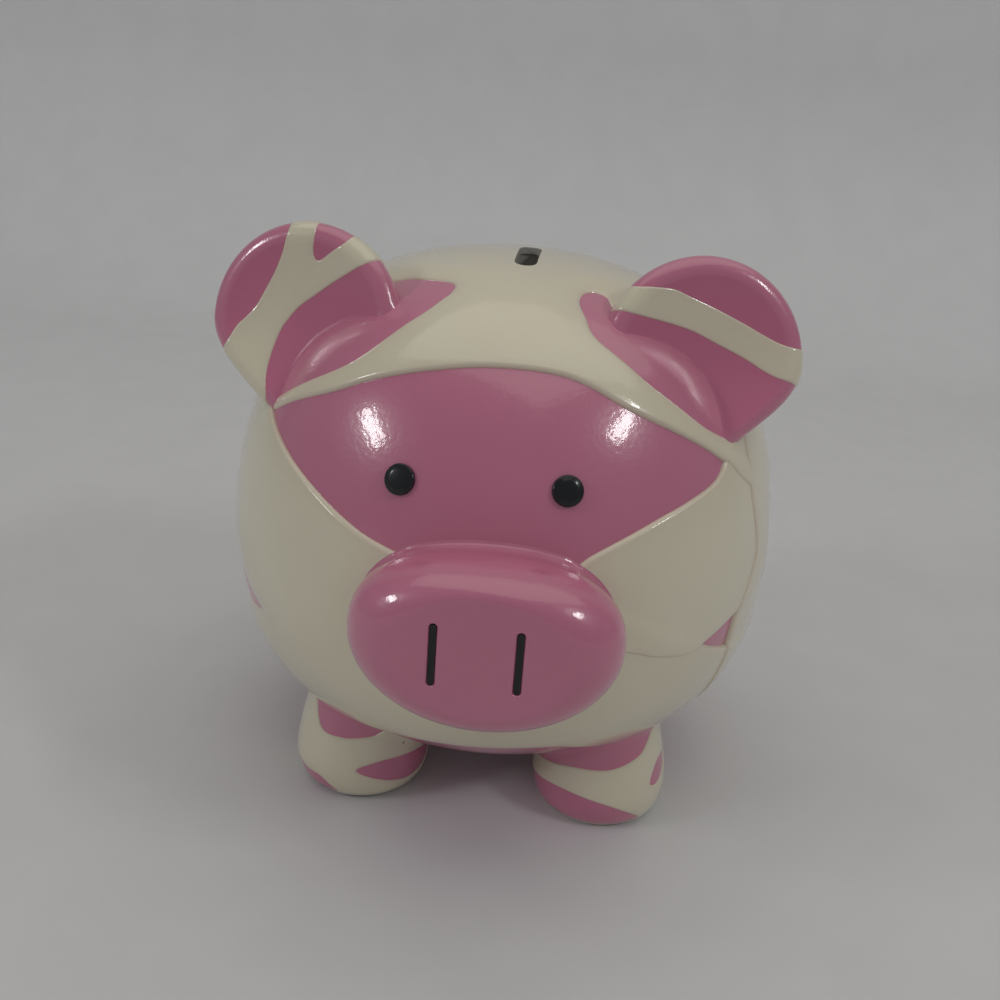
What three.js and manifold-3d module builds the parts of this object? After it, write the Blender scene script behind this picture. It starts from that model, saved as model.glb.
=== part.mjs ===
// A slip-cast piggy bank wrapped in bandages. Millimetres, +Z up, the pig looks along -Y.
// The origin is on the table under the middle of the bank. Left and right are the pig's own.
import * as THREE from 'three';
import { mergeVertices } from 'three/addons/utils/BufferGeometryUtils.js';
import Module from 'manifold-3d';

const wasm = await Module();
wasm.setup();

// ---- driving dimensions ----
const GAP = 0.3; // clearance between pieces that touch

const BODY = {
  halfWidth: 83.6,
  halfDepth: 82.6,
  halfHeight: 75.6,
  lowBulge: -0.08, // makes the lower half fuller than the upper half
  shoulders: 0.17, // flattens the crown and the belly
  fullness: 0.9, // exponent of the cosine: below 1 the flanks are fuller than an ellipse
  bellyClearance: 11.5,
  wall: 5,
  columns: 40,
  rows: 18,
};
const CENTRE = new THREE.Vector3(0, 0, BODY.bellyClearance + BODY.halfHeight);

const WRAP = { lift: 0.4, thickness: 1 }; // a wrap lies just clear of the skin
const CUTTER_RADIUS = 230; // how far a cutter reaches from the body's centre

const SLOT = { width: 6.5, length: 27, x: 2.5, y: -8.5 };
const HOLE_RADIUS = 15;
const STOPPER = {
  plugRadius: 14.6, plugTopRadius: 13.6, plugHeight: 8, recessRadius: 10, recessFloor: 1,
  flangeRadius: 19, flangeThickness: 2.2, tabWidth: 16, tabThickness: 4, tabHeight: 3,
};

const EAR = {
  x: { left: 54.5, right: -57.5 }, // the ears are set on by hand, so they differ a little
  y: -38,
  z: CENTRE.z + 55.7,
  facing: new THREE.Vector3(0.2, -1, 0.2),
  radius: 28.5,
  flat: { at: -38, spread: 48, depth: 0.15 }, // the outer edge runs nearly straight to the root
  rim: 4, // radius of the rounded rim
  rimTurn: 116, // degrees of the rim's round, from its outside to the dish
  dishDepth: 6,
  backDepth: 14,
  segments: 32,
};
const SNOUT = {
  x: 4.5, z: CENTRE.z - 8, halfWidth: 34.5, halfHeight: 21.5, round: 7, frontY: -104, backY: -60,
};
const NOSTRIL = { spacing: 21, width: 2.2, height: 16, depth: 2.2, x: SNOUT.x - 1, z: SNOUT.z + 2 };
const EYE = { lon: 15.8, lat: 21.2, radius: 4.1, rise: 1.5, rimHeight: 0.6, root: 4 };
const FOOT = {
  x: { left: 39, right: -36.5 }, frontY: -36, rearY: 38,
  soleRadius: 14, radius: 20.5, widestZ: 9, topRadius: 14, topZ: 38,
};
const TAIL = { z: CENTRE.z - 2, tube: 3, curl: 6.5, startY: 78, length: 22.5, turns: 1.2, straight: 0.2 };

// ---- outlines on the body, as [longitude, latitude] in degrees ----
// Longitude runs from the front round the pig's left side. Each outline is a loop of smooth edges,
// and its centre is a direction that sees the whole loop.
const WRAPS = {
  side_wrap_left: {
    centre: [82, -8],
    edges: [
      [[64, 32], [62.3, 16], [64.8, 2], [63, -3], [59.2, -11], [58.8, -20], [60, -32], [66, -45]],
      [[66, -45], [85, -50], [106, -48]],
      [[106, -48], [103, -20], [100, 10], [98, 32]],
      [[98, 32], [80, 37], [64, 32]],
    ],
  },
  crown_wrap: {
    centre: [0, 75],
    edges: [
      [[-56.3, 24.6], [-39.4, 33.4], [-28, 39.2], [-14.6, 43.7], [-2, 45.9], [13.4, 45.4],
        [21, 43], [30.5, 37.2], [41, 31.7], [54, 23.5], [60, 18], [72, 8]],
      [[72, 8], [92, 16], [112, 30]],
      [[112, 30], [150, 45], [180, 49], [-150, 45], [-116, 25]],
      [[-116, 25], [-96, 31], [-74, 32], [-64, 28], [-56.3, 24.6]],
    ],
  },
  cheek_wrap_left: {
    centre: [45, 4],
    edges: [
      [[10, 2], [17, 6.3], [21.5, 9.5], [33.4, 14.8], [41, 17.3], [51, 20.8], [58, 27], [75, 30]],
      [[75, 30], [76, 10], [75, -8]],
      [[75, -8], [60, -11.1], [48, -15.3]],
      [[48, -15.3], [43, -16.2], [35, -14.5], [28, -12], [10, -9]],
      [[10, -9], [9, -3], [10, 2]],
    ],
  },
  jaw_wrap: {
    centre: [-5, -25],
    edges: [
      [[-8, 5], [-20, 8], [-27, 10.8], [-35.5, 14.7], [-44, 18.4], [-54.5, 23.3], [-64, 29]],
      [[-64, 29], [-74, 34], [-86, 34]],
      [[-86, 34], [-90, 10], [-87, -12], [-90, -42]],
      [[-90, -42], [-60, -45], [-40, -46], [-12, -43.5], [16, -41.5], [26, -44], [40, -48], [75, -42]],
      [[75, -42], [74, -30], [75, -20]],
      [[75, -20], [60, -20.3], [54, -18.4], [48, -15.3]],
      [[48, -15.3], [28, -4], [10, 2], [-8, 5]],
    ],
  },
  rump_wrap: {
    centre: [180, 4],
    edges: [
      [[-104, 30], [-128, 26], [-150, 19], [180, 14], [150, 4], [128, -8], [104, -16]],
      [[104, -16], [103, -24], [104, -32]],
      [[104, -32], [130, -24], [150, -14], [180, -6], [-150, 2], [-128, 8], [-104, 12]],
      [[-104, 12], [-103, 20], [-104, 30]],
    ],
  },
  side_wrap_right: {
    centre: [-100, -6],
    edges: [
      [[-84, 36], [-82, 15], [-81, -6], [-83, -28], [-80, -46]],
      [[-80, -46], [-96, -50], [-114, -46]],
      [[-114, -46], [-116, -10], [-110, 34]],
      [[-110, 34], [-98, 38], [-84, 36]],
    ],
  },
  back_wrap_upper: {
    centre: [180, 30],
    edges: [
      [[100, 34], [140, 48], [180, 52], [-140, 48], [-100, 34]],
      [[-100, 34], [-101, 20], [-100, 8]],
      [[-100, 8], [-130, 14], [-155, 21], [180, 24], [150, 15], [125, 6], [100, 2]],
      [[100, 2], [101, 18], [100, 34]],
    ],
  },
  back_wrap_lower: {
    centre: [180, -30],
    edges: [
      [[98, -30], [125, -27], [150, -22], [180, -15], [-150, -8], [-125, -5], [-98, -4]],
      [[-98, -4], [-97, -20], [-98, -42]],
      [[-98, -42], [-140, -47], [180, -49], [140, -47], [98, -42]],
      [[98, -42], [99, -36], [98, -30]],
    ],
  },
};
// Places where the pink skin shows through a wrap.
const WINDOWS = {
  left_ear_window: {
    centre: [48, 50],
    edges: [
      [[66, 24.5], [59.5, 27], [50, 32.2], [39.7, 41.1], [33, 48.3], [27.2, 54.7], [26.9, 60], [28, 64.7],
        [34, 68], [44, 68.6]],
      [[44, 68.6], [58, 60], [68, 48], [72, 36], [66, 24.5]],
    ],
  },
  right_ear_window: {
    centre: [-48, 50],
    edges: [
      [[-62, 26.5], [-55.8, 29], [-38, 40.8], [-27.3, 55.4], [-22.4, 64.4]],
      [[-22.4, 64.4], [-26, 67.8], [-47, 66]],
      [[-47, 66], [-60, 58], [-68, 46], [-70, 36], [-62, 26.5]],
    ],
  },
  right_cheek_window: {
    centre: [-68, -18],
    edges: [
      [[-51, -20.5], [-58, -17.5], [-66, -13], [-78, -10]],
      [[-78, -10], [-79, -18], [-78, -27]],
      [[-78, -27], [-64, -24], [-51, -20.5]],
    ],
  },
};
const WINDOW_OF = {
  crown_wrap: ['left_ear_window', 'right_ear_window'],
  jaw_wrap: ['right_cheek_window'],
};
const OUTLINE_STEP = 13; // mm between points along an outline

// ---- materials ----
const glaze = (color) => new THREE.MeshStandardMaterial({ color, roughness: 0.15, metalness: 0 });
const pinkGlaze = glaze(0xc77a94);
const creamGlaze = glaze(0xd8d3b8);
const blackGlaze = glaze(0x17171c);
const stopperRubber = new THREE.MeshStandardMaterial({ color: 0x9a958c, roughness: 0.7, metalness: 0 });

// ---- joining and cutting ----
function solid(geometry) {
  const bare = geometry.clone();
  bare.deleteAttribute('normal');
  bare.deleteAttribute('uv');
  const merged = mergeVertices(bare, 1e-4);
  const corners = merged.index.array;
  const kept = [];
  for (let i = 0; i < corners.length; i += 3) {
    const [a, b, c] = [corners[i], corners[i + 1], corners[i + 2]];
    if (a !== b && b !== c && c !== a) kept.push(a, b, c);
  }
  return new wasm.Manifold(new wasm.Mesh({
    numProp: 3,
    vertProperties: new Float32Array(merged.attributes.position.array),
    triVerts: new Uint32Array(kept),
  }));
}

const minus = (base, ...cutters) => cutters.reduce((left, cutter) => left.subtract(cutter), base);

function piece(name, shape, material) {
  const cut = shape.getMesh();
  const geometry = new THREE.BufferGeometry();
  geometry.setAttribute('position', new THREE.BufferAttribute(new Float32Array(cut.vertProperties), 3));
  geometry.setIndex(new THREE.BufferAttribute(new Uint32Array(cut.triVerts), 1));
  geometry.computeVertexNormals();
  const mesh = new THREE.Mesh(geometry, material);
  mesh.name = name;
  return mesh;
}

// A lathe shape about Z from a profile of [radius, height] that starts and ends on the axis.
function turned(profile, segments) {
  const points = profile.map(([r, z]) => new THREE.Vector2(r, z));
  return new THREE.LatheGeometry(points, segments).rotateX(Math.PI / 2);
}

// ---- the body's form ----
// The body's radius, as a share of its half width, at a height given as a share of its half height.
function girth(u) {
  return Math.pow(1 - u * u, BODY.fullness / 2) * (1 + BODY.lowBulge * u + BODY.shoulders * u * u);
}

function onBody([lon, lat], offset = 0) {
  const [lambda, phi] = [THREE.MathUtils.degToRad(lon), THREE.MathUtils.degToRad(lat)];
  const r = girth(Math.sin(phi));
  return new THREE.Vector3(
    (BODY.halfWidth + offset) * r * Math.sin(lambda),
    -(BODY.halfDepth + offset) * r * Math.cos(lambda),
    (BODY.halfHeight + offset) * Math.sin(phi),
  ).add(CENTRE);
}

function bodyForm(offset, columns = BODY.columns, rows = BODY.rows) {
  const profile = [];
  for (let i = 0; i <= rows; i++) {
    const u = i === rows ? 1 : Math.sin(Math.PI * (i / rows - 0.5));
    const onAxis = i === 0 || i === rows;
    profile.push([onAxis ? 0 : (BODY.halfWidth + offset) * girth(u), (BODY.halfHeight + offset) * u]);
  }
  const shape = turned(profile, columns);
  shape.scale(1, (BODY.halfDepth + offset) / (BODY.halfWidth + offset), 1);
  return solid(shape.translate(CENTRE.x, CENTRE.y, CENTRE.z));
}

// A cone from the body's centre through an outline, which cuts that outline's patch out of a layer.
function cone({ centre, edges }, grow = 0) {
  const middle = onBody(centre);
  const rim = [];
  for (const edge of edges) {
    const curve = new THREE.CatmullRomCurve3(edge.map((p) => onBody(p)), false, 'centripetal');
    rim.push(...curve.getSpacedPoints(Math.ceil(curve.getLength() / OUTLINE_STEP)).slice(0, -1));
  }
  const turning = rim.reduce((sum, p, i) => {
    const next = rim[(i + 1) % rim.length];
    return sum + p.clone().sub(middle).cross(next.clone().sub(middle)).dot(middle.clone().sub(CENTRE));
  }, 0);
  if (turning < 0) rim.reverse();
  const outward = (p) => p.clone().sub(CENTRE).setLength(CUTTER_RADIUS).add(CENTRE);
  const sideways = (i) => rim[(i + 1) % rim.length].clone()
    .sub(rim[(i + rim.length - 1) % rim.length]).cross(rim[i].clone().sub(CENTRE));
  const points = rim.map((p, i) => outward(p.clone().add(sideways(i).setLength(grow))));
  const all = [CENTRE, outward(middle), ...points];
  const faces = [];
  for (let i = 0; i < points.length; i++) {
    const [a, b] = [2 + i, 2 + ((i + 1) % points.length)];
    faces.push(1, a, b, 0, b, a);
  }
  const geometry = new THREE.BufferGeometry();
  geometry.setAttribute('position', new THREE.Float32BufferAttribute(all.flatMap((p) => p.toArray()), 3));
  geometry.setIndex(faces);
  return solid(geometry);
}

// ---- sub-parts ----
function slotCutter() {
  const half = SLOT.width / 2;
  const straight = SLOT.length / 2 - half;
  const shape = new THREE.Shape();
  shape.absarc(0, straight, half, 0, Math.PI);
  shape.absarc(0, -straight, half, Math.PI, 2 * Math.PI);
  const height = 60;
  const geometry = new THREE.ExtrudeGeometry(shape, { depth: height, bevelEnabled: false, curveSegments: 6 });
  return solid(geometry.translate(SLOT.x, SLOT.y, CENTRE.z + BODY.halfHeight - height / 2));
}

function bodyShell() {
  const hole = solid(new THREE.CylinderGeometry(HOLE_RADIUS, HOLE_RADIUS, 60, 32)
    .rotateX(Math.PI / 2).translate(0, 0, BODY.bellyClearance));
  const hollow = bodyForm(-BODY.wall, 32, 14);
  return minus(bodyForm(0), hollow, hole, slotCutter());
}

// The ear is a bowl about its own axis, with a rounded rim in front and a dish inside.
function ear(name, clearance = 0) {
  const profile = [];
  const outer = EAR.radius + clearance;
  const rim = EAR.rim + clearance;
  const rimRadius = outer - rim;
  const back = EAR.backDepth + clearance;
  for (let i = 0; i <= 7; i++) {
    const t = (i / 7) * Math.PI / 2;
    profile.push([i ? outer * Math.sin(t) : 0, -EAR.rim - back * Math.cos(t)]);
  }
  for (let i = 1; i <= 5; i++) {
    const t = THREE.MathUtils.degToRad((i / 5) * EAR.rimTurn);
    profile.push([rimRadius + rim * Math.cos(t), -EAR.rim + rim * Math.sin(t)]);
  }
  const [dishRadius, dishEdge] = profile[profile.length - 1];
  const dishFloor = clearance - EAR.dishDepth;
  for (let i = 4; i >= 0; i--) {
    const r = (i / 5) * dishRadius;
    profile.push([r, dishFloor + (dishEdge - dishFloor) * (r / dishRadius) ** 2]);
  }
  const outward = Math.sign(EAR.x[name]);
  const shape = turned(profile, EAR.segments);
  const points = shape.attributes.position;
  for (let i = 0; i < points.count; i++) {
    const round = THREE.MathUtils.radToDeg(Math.atan2(points.getY(i), outward * points.getX(i)));
    const away = Math.min(1, Math.abs(round - EAR.flat.at) / EAR.flat.spread);
    const scale = 1 - EAR.flat.depth * (1 - away * away) ** 2;
    points.setXY(i, points.getX(i) * scale, points.getY(i) * scale);
  }
  const facing = new THREE.Vector3(outward * EAR.facing.x, EAR.facing.y, EAR.facing.z).normalize();
  const turn = new THREE.Quaternion().setFromUnitVectors(new THREE.Vector3(0, 0, 1), facing);
  return solid(shape.applyQuaternion(turn).translate(EAR.x[name], EAR.y, EAR.z));
}

function snout(clearance = 0) {
  const shape = new THREE.Shape();
  const [w, h] = [SNOUT.halfWidth - SNOUT.round + clearance, SNOUT.halfHeight - SNOUT.round + clearance];
  shape.absellipse(0, 0, w, h, 0, 2 * Math.PI);
  const geometry = new THREE.ExtrudeGeometry(shape, {
    depth: SNOUT.backY - SNOUT.frontY - 2 * SNOUT.round, curveSegments: 18,
    bevelSize: SNOUT.round, bevelThickness: SNOUT.round + clearance, bevelSegments: 3,
  });
  geometry.rotateX(Math.PI / 2).translate(SNOUT.x, SNOUT.backY - SNOUT.round, SNOUT.z);
  return solid(geometry);
}

function nostril(side) {
  const half = NOSTRIL.width / 2;
  const straight = NOSTRIL.height / 2 - half;
  const shape = new THREE.Shape();
  shape.absarc(0, straight, half, 0, Math.PI);
  shape.absarc(0, -straight, half, Math.PI, 2 * Math.PI);
  const geometry = new THREE.ExtrudeGeometry(shape, { depth: 10, bevelEnabled: false, curveSegments: 4 });
  geometry.rotateX(Math.PI / 2)
    .translate(NOSTRIL.x + side * NOSTRIL.spacing / 2, SNOUT.frontY + NOSTRIL.depth, NOSTRIL.z);
  return solid(geometry);
}

function eye(side) {
  const profile = [[0, -EYE.root], [EYE.radius, -EYE.root], [EYE.radius, EYE.rimHeight]];
  const domeSteps = 4;
  for (let i = 1; i <= domeSteps; i++) {
    const t = (i / domeSteps) * Math.PI / 2;
    const rise = EYE.rimHeight + (EYE.rise - EYE.rimHeight) * Math.sin(t);
    profile.push([i === domeSteps ? 0 : EYE.radius * Math.cos(t), rise]);
  }
  const place = onBody([side * EYE.lon, EYE.lat]);
  const facing = onBody([side * EYE.lon, EYE.lat], 10).sub(place).normalize();
  const turn = new THREE.Quaternion().setFromUnitVectors(new THREE.Vector3(0, 0, 1), facing);
  return solid(turned(profile, 20).applyQuaternion(turn).translate(place.x, place.y, place.z));
}

function foot(name, y, clearance = 0) {
  const profile = [[0, 0], [FOOT.soleRadius + clearance, 0]];
  for (let i = 1; i <= 4; i++) {
    const t = (i / 4) * Math.PI / 2;
    profile.push([
      FOOT.soleRadius + (FOOT.radius - FOOT.soleRadius) * Math.sin(t) + clearance,
      FOOT.widestZ * (1 - Math.cos(t)),
    ]);
  }
  profile.push([FOOT.topRadius + clearance, FOOT.topZ], [0, FOOT.topZ]);
  return solid(turned(profile, 28).translate(FOOT.x[name], y, 0));
}

function tail() {
  const points = [];
  const steps = 16;
  for (let i = 0; i <= steps; i++) {
    const t = i / steps;
    const a = 2 * Math.PI * TAIL.turns * Math.max(0, t - TAIL.straight) / (1 - TAIL.straight);
    points.push(new THREE.Vector3(TAIL.curl * Math.sin(a), TAIL.startY + TAIL.length * t,
      TAIL.z + TAIL.curl * (1 - Math.cos(a))));
  }
  const section = new THREE.Shape();
  section.absarc(0, 0, TAIL.tube, 0, 2 * Math.PI);
  return solid(new THREE.ExtrudeGeometry(section, {
    steps: 28, curveSegments: 4, extrudePath: new THREE.CatmullRomCurve3(points), bevelEnabled: false,
  }));
}

function stopper() {
  const seat = BODY.bellyClearance - GAP;
  const bottom = seat - STOPPER.flangeThickness;
  const profile = [
    [0, bottom], [STOPPER.flangeRadius, bottom], [STOPPER.flangeRadius, seat], [STOPPER.plugRadius, seat],
    [STOPPER.plugTopRadius, seat + STOPPER.plugHeight], [STOPPER.recessRadius, seat + STOPPER.plugHeight],
    [STOPPER.recessRadius, seat + STOPPER.recessFloor], [0, seat + STOPPER.recessFloor],
  ];
  const tab = solid(new THREE.BoxGeometry(STOPPER.tabWidth, STOPPER.tabThickness, STOPPER.tabHeight + 1)
    .translate(0, 0, bottom - STOPPER.tabHeight / 2 + 0.5));
  return solid(turned(profile, 32)).add(tab);
}

// ---- the assembly ----
const bank = new THREE.Group();
const roundedSeat = bodyForm(GAP); // the space the body takes out of what is set on it
const sides = { left: 1, right: -1 };

bank.add(piece('body_shell', bodyShell(), pinkGlaze));
bank.add(piece('snout', minus(snout(), roundedSeat, nostril(1), nostril(-1)), pinkGlaze));
for (const [name, side] of Object.entries(sides)) {
  bank.add(piece(`ear_${name}`, minus(ear(name), roundedSeat), pinkGlaze));
  bank.add(piece(`eye_${name}`, minus(eye(side), roundedSeat), blackGlaze));
  bank.add(piece(`foot_front_${name}`, minus(foot(name, FOOT.frontY), roundedSeat), pinkGlaze));
  bank.add(piece(`foot_rear_${name}`, minus(foot(name, FOOT.rearY), roundedSeat), pinkGlaze));
}
bank.add(piece('tail', minus(tail(), roundedSeat), pinkGlaze));
bank.add(piece('stopper', stopper(), stopperRubber));

// Each wrap is its patch of a thin layer over the skin, cut back from what stands on or over it.
const layer = minus(bodyForm(WRAP.lift + WRAP.thickness), bodyForm(WRAP.lift));
const standing = [
  slotCutter(), snout(GAP),
  ...Object.keys(sides).flatMap((name) => [
    ear(name, GAP), foot(name, FOOT.frontY, GAP), foot(name, FOOT.rearY, GAP),
  ]),
  solid(new THREE.CylinderGeometry(TAIL.curl + 5, TAIL.curl + 5, 40, 24)
    .translate(0, TAIL.startY, TAIL.z + TAIL.curl / 2)),
];
const above = [];
for (const [name, outline] of Object.entries(WRAPS)) {
  const windows = (WINDOW_OF[name] || []).map((window) => cone(WINDOWS[window]));
  const patch = layer.intersect(cone(outline));
  bank.add(piece(name, minus(patch, ...windows, ...standing, ...above), creamGlaze));
  above.push(cone(outline, 2 * GAP));
}

export default bank;
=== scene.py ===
"""A glazed piggy bank wrapped in raised bandages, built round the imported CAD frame.

Shapes are worked out in millimetres with numpy and made into meshes in metres.
Left and right are the pig's own: the pig looks along -Y, so its left is +X.
"""

import math

import bmesh
import bpy
import numpy as np
from mathutils import Matrix, Quaternion, Vector
from mathutils.geometry import delaunay_2d_cdt


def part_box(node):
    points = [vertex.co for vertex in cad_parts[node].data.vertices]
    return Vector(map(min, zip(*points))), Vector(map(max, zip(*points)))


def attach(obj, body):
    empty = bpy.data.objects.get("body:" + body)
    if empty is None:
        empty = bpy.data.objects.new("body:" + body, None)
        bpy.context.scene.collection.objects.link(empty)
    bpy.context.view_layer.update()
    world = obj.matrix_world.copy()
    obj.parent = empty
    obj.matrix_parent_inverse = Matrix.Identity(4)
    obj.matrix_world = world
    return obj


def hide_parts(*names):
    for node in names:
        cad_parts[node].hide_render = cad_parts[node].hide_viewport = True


MM = 0.001

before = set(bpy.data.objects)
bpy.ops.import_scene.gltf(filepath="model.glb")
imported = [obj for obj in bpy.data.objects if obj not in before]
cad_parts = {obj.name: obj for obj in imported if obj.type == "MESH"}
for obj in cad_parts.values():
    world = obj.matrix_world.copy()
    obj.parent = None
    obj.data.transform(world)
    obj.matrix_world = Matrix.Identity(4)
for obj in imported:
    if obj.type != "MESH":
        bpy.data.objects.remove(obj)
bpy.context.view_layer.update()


def box_mm(node):
    return tuple(np.array(corner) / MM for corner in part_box(node))


# ---- forms, in millimetres ----
HALF_WIDTH, HALF_DEPTH, HALF_HEIGHT = 83.6, 82.6, 75.6
LOW_BULGE, SHOULDERS, FULLNESS = -0.08, 0.17, 0.9  # wider low down, wider at both ends, less pointed
WALL = 5.0
BODY_TOP = box_mm("body_shell")[1][2]
CENTRE = np.array([0.0, 0.0, BODY_TOP - HALF_HEIGHT])


def bulge(u):
    """How much wider the body is than a plain round form, at height u as a share of its half height."""
    return 1 + LOW_BULGE * u + SHOULDERS * u * u


def girth(u):
    """The body's radius, as a share of its half width, at height u as a share of its half height."""
    return np.power(np.clip(1 - u * u, 0, 1), FULLNESS / 2) * bulge(u)


def direction(lon, lat):
    lon, lat = np.radians(lon), np.radians(lat)
    return np.stack([np.sin(lon) * np.cos(lat), -np.cos(lon) * np.cos(lat), np.sin(lat)], -1)


def on_body(way, offset=0.0):
    """The point of the body's surface, raised by offset, in each unit direction."""
    u = way[..., 2]
    flat = np.maximum(np.sqrt(np.clip(1 - u * u, 0, 1)), 1e-9)
    r = girth(u)
    return np.stack([
        (HALF_WIDTH + offset) * r * way[..., 0] / flat,
        (HALF_DEPTH + offset) * r * way[..., 1] / flat,
        (HALF_HEIGHT + offset) * u,
    ], -1) + CENTRE


def body_level(points):
    q = points - CENTRE
    u = q[..., 2] / HALF_HEIGHT
    share = np.hypot(q[..., 0] / HALF_WIDTH, q[..., 1] / HALF_DEPTH) / bulge(u)
    return np.sqrt(share ** (2 / FULLNESS) + u * u) - 1


def body_gap(points):
    """How far each point is outside the body, and the unit direction away from it."""
    step = 0.05
    slope = np.stack([
        (body_level(points + step * axis) - body_level(points - step * axis)) / (2 * step)
        for axis in np.eye(3)
    ], -1)
    size = np.linalg.norm(slope, axis=-1, keepdims=True)
    return body_level(points) / size[..., 0], slope / size


def turn_to(facing):
    """The rotation that takes +Z to facing by the shortest way."""
    f = np.array(facing, float)
    f /= np.linalg.norm(f)
    x, y, z = -f[1], f[0], f[2]
    cross = np.array([[0, 0, y], [0, 0, -x], [-y, x, 0]])
    return np.eye(3) + cross + cross @ cross / (1 + z)


def turns(count):
    """Evenly spaced angles round a circle."""
    return np.arange(count) * 2 * np.pi / count


def with_normals(place, chart, step=0.4):
    """Points of a surface given by its chart, and their unit normals."""
    dx = place(chart + [step, 0]) - place(chart - [step, 0])
    dy = place(chart + [0, step]) - place(chart - [0, step])
    normal = np.cross(dx, dy)
    size = np.maximum(np.linalg.norm(normal, axis=-1, keepdims=True), 1e-12)
    return place(chart), normal / size


def along(profile, count=900):
    """A profile evenly resampled by its length: (lengths, radii, heights)."""
    p = np.array(profile, float)
    s = np.r_[0, np.cumsum(np.linalg.norm(np.diff(p, axis=0), axis=1))]
    t = np.linspace(0, s[-1], count)
    return t, np.interp(t, s, p[:, 0]), np.interp(t, s, p[:, 1])


def curve_through(points, per_span=12, closed=False):
    """A smooth curve through points (Catmull-Rom)."""
    p = np.array(points, float)
    if closed:
        p = np.r_[p[-1:], p, p[:2]]
    else:
        p = np.r_[[2 * p[0] - p[1]], p, [2 * p[-1] - p[-2]]]
    out = []
    for a, b, c, d in zip(p, p[1:], p[2:], p[3:]):
        for t in np.arange(per_span) / per_span:
            out.append(0.5 * (2 * b + (c - a) * t + (2 * a - 5 * b + 4 * c - d) * t * t
                              + (3 * b - a - 3 * c + d) * t ** 3))
    if not closed:
        out.append(p[-2])
    return np.array(out)


# The ear: a bowl about its own axis. Its chart is polar: the length along the profile from the
# middle of the dish, and the angle round from outward (away from the head), up being 90 degrees.
EAR_X = {"left": 54.5, "right": -57.5}
EAR_Y, EAR_Z = -38.0, CENTRE[2] + 55.7
EAR_RADIUS, EAR_RIM, EAR_RIM_TURN, EAR_DISH, EAR_BACK = 28.5, 4.0, 110, 4.6, 14.0
EAR_TURNED = 0.2  # how far it faces outward, and up, for each step forward
# Its outline is drawn in by a share, most at this many degrees round, and fading to either side.
EAR_FLAT_AT, EAR_FLAT_SPREAD, EAR_FLAT_DEPTH = -38.0, 48.0, 0.15
EAR_FILLET = 0.5


def ear_profile():
    rim_turn = np.radians(np.linspace(EAR_RIM_TURN, 0, 60))
    rim = np.stack([EAR_RADIUS - EAR_RIM + EAR_RIM * np.cos(rim_turn),
                    EAR_RIM * np.sin(rim_turn) - EAR_RIM], -1)
    share = np.linspace(0, 1, 120)[:-1, None]
    dish = np.hstack([rim[0, 0] * share, -EAR_DISH + (rim[0, 1] + EAR_DISH) * share ** 2])
    turn = np.linspace(0, np.pi / 2, 120)[1:]
    back = np.stack([EAR_RADIUS * np.cos(turn), -EAR_RIM - EAR_BACK * np.sin(turn)], -1)
    return along(np.vstack([dish, rim, back]))


EAR_PROFILE = ear_profile()


def ear_place(name):
    outward = np.sign(EAR_X[name])
    turn = turn_to([outward * EAR_TURNED, -1, EAR_TURNED])
    middle = np.array([EAR_X[name], EAR_Y, EAR_Z])
    lengths, radii, heights = EAR_PROFILE

    def place(chart):
        s, angle = np.hypot(chart[..., 0], chart[..., 1]), np.arctan2(chart[..., 1], chart[..., 0])
        away = np.minimum(1, np.abs(np.degrees(angle) - EAR_FLAT_AT) / EAR_FLAT_SPREAD)
        r = np.interp(s, lengths, radii) * (1 - EAR_FLAT_DEPTH * (1 - away * away) ** 2)
        local = np.stack([outward * r * np.cos(angle), r * np.sin(angle), np.interp(s, lengths, heights)], -1)
        return local @ turn.T + middle
    return place


# The foot: a turned form. Its chart is unrolled: the turn round from the front towards the pig's
# left, at FOOT_ROLL mm a degree, and the length along the profile from the middle of the sole.
FOOT_X = {"left": 39.0, "right": -36.5}
FOOT_Y = {"front": -36.0, "rear": 38.0}
FOOT_ROLL = 0.3
FOOT_FILLET = 4.0


def foot_profile():
    side = curve_through([(13.5, 0), (16.6, 0.7), (19.2, 3.2), (20.5, 8.5), (20.1, 14), (19, 20), (17.3, 27),
                          (15.6, 34), (14.6, 40)])
    return along(np.vstack([[(0, 0)], side]))


FOOT_PROFILE = foot_profile()


def foot_place(row, side):
    middle = np.array([FOOT_X[side], FOOT_Y[row], 0.0])
    lengths, radii, heights = FOOT_PROFILE

    def place(chart):
        angle = np.radians(chart[..., 0] / FOOT_ROLL)
        r = np.interp(chart[..., 1], lengths, radii)
        return np.stack([r * np.sin(angle), -r * np.cos(angle), np.interp(chart[..., 1], lengths, heights)],
                        -1) + middle
    return place


# ---- meshes ----
def put(name, data):
    """A new object in the scene, made of this data."""
    made = bpy.data.objects.new(name, data)
    bpy.context.scene.collection.objects.link(made)
    return made


def mesh_of(name, points, faces):
    """A mesh from points in millimetres."""
    mesh = bpy.data.meshes.new(name)
    mesh.from_pydata((np.asarray(points) * MM).tolist(), [], [list(map(int, f)) for f in faces])
    return mesh


def facing_out(points, faces):
    """The faces, turned over if they face inwards on the whole."""
    tri = np.array([f[:3] for f in faces])
    a, b, c = points[tri[:, 0]], points[tri[:, 1]], points[tri[:, 2]]
    volume = (np.cross(b - a, c - a) * (a - points.mean(0))).sum()
    return faces if volume > 0 else [tuple(reversed(f)) for f in faces]


def mesh_piece(name, points, faces, materials, body="bank", replaces=(), sharp=None):
    """Makes a smooth-shaded piece from points in millimetres, and lets it ride on a body."""
    mesh = mesh_of(name, points, facing_out(points, faces))
    mesh.validate()
    made = put(name, mesh)
    for material in materials:
        mesh.materials.append(material)
    mesh.shade_smooth()
    if sharp is not None:
        mesh.set_sharp_from_angle(angle=math.radians(sharp))
    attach(made, body)
    if replaces:
        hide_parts(*replaces)
    return made


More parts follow.
